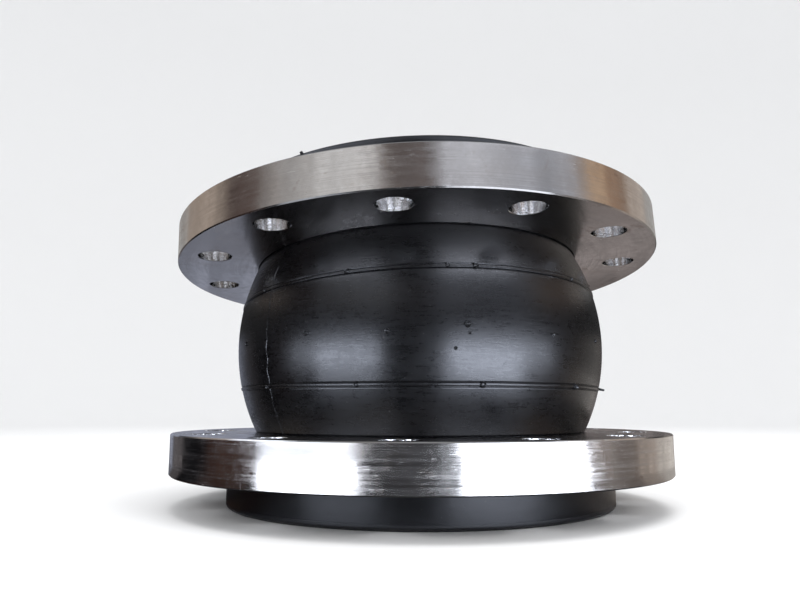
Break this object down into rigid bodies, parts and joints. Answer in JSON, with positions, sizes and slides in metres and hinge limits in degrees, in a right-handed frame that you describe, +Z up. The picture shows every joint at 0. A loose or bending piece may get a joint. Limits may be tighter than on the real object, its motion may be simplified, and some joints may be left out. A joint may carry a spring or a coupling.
{
  "type": "rubber expansion joint",
  "caption": "Single-arch rubber expansion joint: a black spherical bellows with moulded sealing lips, held between two loose steel flanges with bolt holes.",
  "frame": {"origin": "centre of the lower sealing face, on the lower end's axis; the joint stands on this face", "axes": "+Z up along the lower end's axis; the upper end leans 4.5 degrees towards +Y, so the gap between the flanges is widest at -Y; +X is along the fold that the lean turns about"},
  "size_m": [0.34, 0.346, 0.2219],
  "materials": {
    "flange_steel": "turned, bright, fine lathe lines on every face",
    "cover_rubber": "moulded, satin black",
    "tube_rubber": "smooth, satin black",
    "cord_fabric": "rubbered nylon tyre cord, dull",
    "bead_wire": "brass-coated hard steel wire",
    "bead_rubber": "hard, dull black"
  },
  "bodies": {
    "lower_end": {"lower_tube_end": "tube_rubber", "lower_lip_cover": "cover_rubber", "lower_ply_1": "cord_fabric", "lower_ply_2": "cord_fabric", "lower_ply_3": "cord_fabric", "lower_ply_4": "cord_fabric", "lower_bead_core": "bead_wire", "lower_bead_filler": "bead_rubber"},
    "lower_flange": {"lower_flange": "flange_steel"},
    "arch_lower_half": {"arch_tube": "tube_rubber", "arch_ply_1": "cord_fabric", "arch_ply_2": "cord_fabric", "arch_ply_3": "cord_fabric", "arch_ply_4": "cord_fabric"},
    "arch_upper_half": {"arch_cover": "cover_rubber"},
    "upper_end": {"upper_tube_end": "tube_rubber", "upper_lip_cover": "cover_rubber", "upper_ply_1": "cord_fabric", "upper_ply_2": "cord_fabric", "upper_ply_3": "cord_fabric", "upper_ply_4": "cord_fabric", "upper_bead_core": "bead_wire", "upper_bead_filler": "bead_rubber"},
    "upper_flange": {"upper_flange": "flange_steel"}
  },
  "joints": [
    {"name": "lateral_shift", "type": "slide", "parent": "lower_end", "child": "arch_lower_half", "axis": [0, 1, 0], "range_m": [-0.014, 0.014], "stiffness_N_per_m": 90000},
    {"name": "axial_travel", "type": "slide", "parent": "arch_lower_half", "child": "arch_upper_half", "axis": [0, 0, 1], "range_m": [-0.018, 0.012], "stiffness_N_per_m": 80000, "springref_m": 0.0017, "deforming": ["arch_cover", "arch_tube", "arch_ply_1", "arch_ply_2", "arch_ply_3", "arch_ply_4"]},
    {"name": "angular_bend", "type": "hinge", "parent": "arch_upper_half", "child": "upper_end", "pos_m": [0, 0, 0.106], "axis": [1, 0, 0], "range_deg": [-3, 12], "stiffness_Nm_per_rad": 900},
    {"name": "lower_flange_turn", "type": "hinge", "parent": "lower_end", "child": "lower_flange", "pos_m": [0, 0, 0.0351], "axis": [0, 0, 1], "continuous": true},
    {"name": "upper_flange_turn", "type": "hinge", "parent": "upper_end", "child": "upper_flange", "pos_m": [0, 0.00556, 0.17668], "axis": [0, 0.0785, 0.9969], "continuous": true}
  ]
}
